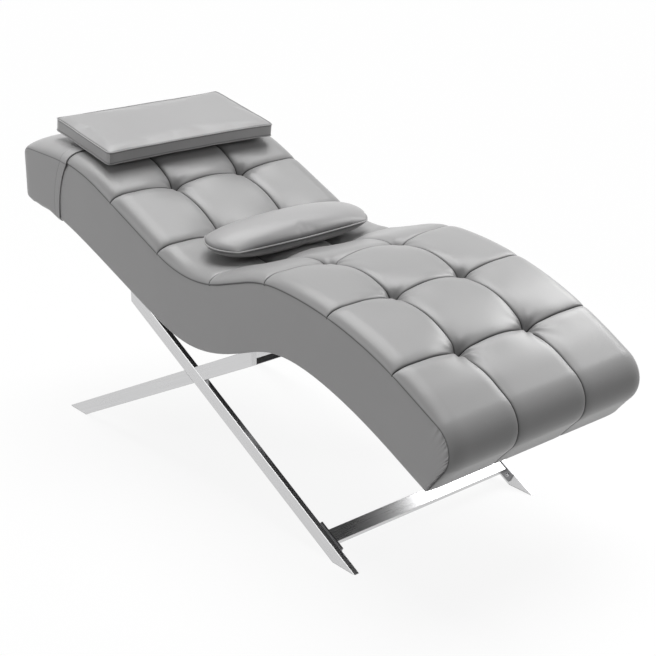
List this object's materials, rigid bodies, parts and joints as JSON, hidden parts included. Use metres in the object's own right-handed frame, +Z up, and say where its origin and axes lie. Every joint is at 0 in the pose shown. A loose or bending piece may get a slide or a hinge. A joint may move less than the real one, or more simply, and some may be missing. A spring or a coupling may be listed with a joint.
{
  "type": "eyelash extension bed",
  "caption": "S-curved tufted treatment bed on a flat-bar X base, with a slip-on head cover and loose head and lumbar pillows.",
  "frame": {"origin": "on the floor, below the middle of the bed's length and width", "axes": "+X towards the foot end, +Y towards the left side of a person lying face up, +Z up"},
  "size_m": [1.6794, 0.626, 0.8201],
  "materials": {
    "steel": "polished",
    "fastener_steel": "satin",
    "foot_rubber": "matte",
    "plywood": "matte",
    "foam": "matte",
    "padded_leatherette": "satin",
    "leatherette": "satin",
    "dust_cloth": "matte"
  },
  "bodies": {
    "bed": {"right_long_bar": "steel", "right_rear_leg_bar": "steel", "right_front_arm_bar": "steel", "left_long_bar": "steel", "left_rear_leg_bar": "steel", "left_front_arm_bar": "steel", "lower_crossbar": "steel", "front_seat_rail": "steel", "rear_seat_rail": "steel", "lower_crossbar_plates": "steel", "front_rail_plates": "steel", "rear_rail_plates": "steel", "lower_crossbar_bolts": "fastener_steel", "front_rail_bolts": "fastener_steel", "rear_rail_bolts": "fastener_steel", "seat_spacers": "fastener_steel", "seat_washers": "fastener_steel", "seat_bolts": "fastener_steel", "tee_nuts": "fastener_steel", "foot_pads": "foot_rubber", "front_mounting_board": "plywood", "rear_mounting_board": "plywood", "right_side_rib": "plywood", "left_side_rib": "plywood", "centre_rib": "plywood", "head_end_rail": "plywood", "foot_end_rail": "plywood", "deck_panel": "plywood", "base_foam": "foam", "nose_foam": "foam", "head_end_pad": "foam", "tufted_top": "padded_leatherette", "right_side_panel": "leatherette", "left_side_panel": "leatherette", "head_cover": "leatherette", "dust_cover": "dust_cloth"},
    "head_pillow": {"head_pillow": "padded_leatherette"},
    "lumbar_pillow": {"lumbar_pillow": "padded_leatherette"}
  },
  "joints": [
    {"name": "head_pillow_lift", "type": "slide", "parent": "bed", "child": "head_pillow", "axis": [0, 0, 1], "range_m": [0, 0.3]},
    {"name": "lumbar_pillow_lift", "type": "slide", "parent": "bed", "child": "lumbar_pillow", "axis": [0, 0, 1], "range_m": [0, 0.3]}
  ]
}
